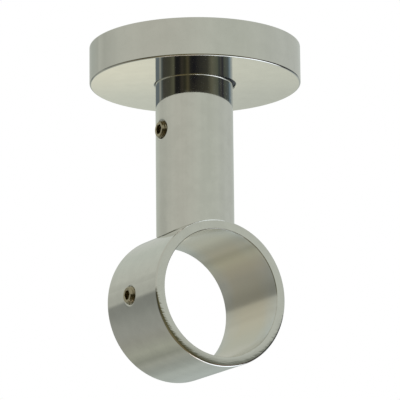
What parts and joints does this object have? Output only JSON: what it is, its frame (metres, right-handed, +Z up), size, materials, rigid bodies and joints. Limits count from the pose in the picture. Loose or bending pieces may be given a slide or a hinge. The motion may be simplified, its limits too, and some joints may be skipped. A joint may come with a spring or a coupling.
{
  "type": "curtain pole bracket",
  "caption": "Ceiling fixed curtain pole bracket: a round rose, a straight round stem and a plain ring at its foot that the pole passes through.",
  "frame": {"origin": "centre of the rose in the plane of the ceiling, where the fixing plate lies against it", "axes": "+Z up, into the ceiling, so the bracket hangs below z = 0; X along the pole; the two grub screws face -Y"},
  "size_m": [0.06, 0.06, 0.0947],
  "materials": {
    "polished_chrome": "polished chrome plate",
    "zinc_plated_steel": "bright zinc plate, turned and sawn faces",
    "screw_steel": "nickel plated, slightly brassy"
  },
  "bodies": {
    "root": {"rose_cover": "polished_chrome", "fixing_plate": "zinc_plated_steel", "spigot": "zinc_plated_steel", "spigot_screw": "screw_steel", "stem": "polished_chrome", "stem_grub_screw": "screw_steel", "ring": "polished_chrome", "ring_grub_screw": "screw_steel"}
  },
  "joints": []
}
